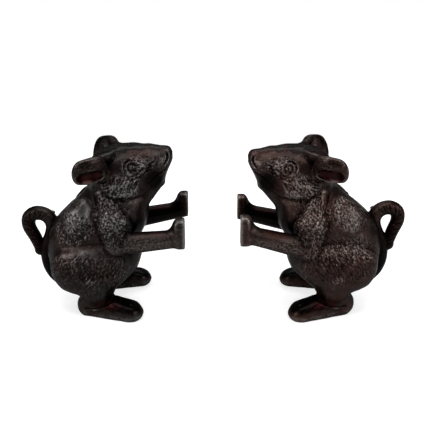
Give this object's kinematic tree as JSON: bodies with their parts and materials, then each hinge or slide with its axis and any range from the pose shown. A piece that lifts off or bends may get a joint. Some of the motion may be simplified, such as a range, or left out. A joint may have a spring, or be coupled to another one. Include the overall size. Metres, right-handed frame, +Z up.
{
  "type": "pair of figural bookends",
  "caption": "Pair of standing mouse bookends in hollow two-piece castings, screwed together, whose flat palms press against the books between them.",
  "frame": {"origin": "on the shelf surface, midway between the two figures and on their middle plane", "axes": "+X along the row of books from the left figure to the right one, +Y away from the viewer, +Z up"},
  "size_m": [0.2626, 0.069, 0.1161],
  "materials": {
    "left_iron": "dark brown-black baked finish, satin gloss, over fine sand-cast grain",
    "right_iron": "dark reddish-brown baked finish, satin gloss, over fine sand-cast grain",
    "screw_steel": "darkened steel"
  },
  "bodies": {
    "left_mouse": {"left_front_half": "left_iron", "left_rear_half": "left_iron", "left_upper_screw": "screw_steel", "left_lower_screw": "screw_steel"},
    "right_mouse": {"right_front_half": "right_iron", "right_rear_half": "right_iron", "right_upper_screw": "screw_steel", "right_lower_screw": "screw_steel"}
  },
  "joints": [
    {"name": "shelf_slide", "type": "slide", "parent": "left_mouse", "child": "right_mouse", "axis": [1, 0, 0], "range_m": [-0.034, 0.25]}
  ]
}
